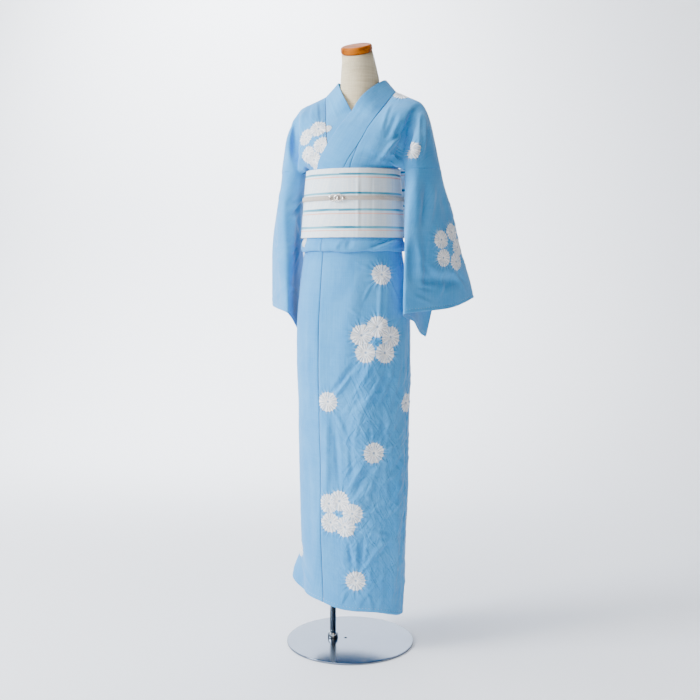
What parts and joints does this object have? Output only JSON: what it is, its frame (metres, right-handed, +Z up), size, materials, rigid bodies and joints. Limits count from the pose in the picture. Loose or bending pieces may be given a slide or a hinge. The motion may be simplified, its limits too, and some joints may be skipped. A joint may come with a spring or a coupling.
{
  "type": "cotton yukata robe on a limbless dress form",
  "caption": "Light cotton wrap robe with hanging sleeves, sash, cord and tuck fold, worn on a limbless dress form on a pole and disc base.",
  "frame": {"origin": "centre of the disc base, on the floor", "axes": "+Z up; the front of the robe faces -Y; the wearer's left is +X"},
  "size_m": [0.5522, 0.325, 1.5202],
  "materials": {
    "cotton": "plain woven cotton, tie-dyed rosettes",
    "belt_cloth": "sheer white weave with thin stripes",
    "cord_braid": "flat silk braid",
    "ornament_metal": "polished",
    "linen": "plain weave, stretched",
    "varnished_wood": "varnished",
    "chrome": "polished",
    "brushed_steel": "satin"
  },
  "bodies": {
    "root": {"base_disc": "brushed_steel", "base_socket": "chrome", "base_screw": "chrome", "pole": "chrome", "torso_form": "linen", "neck_cap": "varnished_wood", "skirt_gore_left": "cotton", "skirt_front_left": "cotton", "skirt_back_left": "cotton", "skirt_back_right": "cotton", "skirt_front_right": "cotton", "skirt_gore_right": "cotton", "tuck_gore_left": "cotton", "tuck_front_left": "cotton", "tuck_back_left": "cotton", "tuck_back_right": "cotton", "collar": "cotton", "upper_gore_left": "cotton", "upper_gore_right": "cotton", "body_left": "cotton", "body_right": "cotton", "sleeve_left": "cotton", "sleeve_right": "cotton", "belt_outer": "belt_cloth", "belt_inner": "belt_cloth", "knot_card": "belt_cloth", "knot_strap": "belt_cloth", "belt_cord": "cord_braid", "cord_ornament": "ornament_metal"}
  },
  "joints": []
}
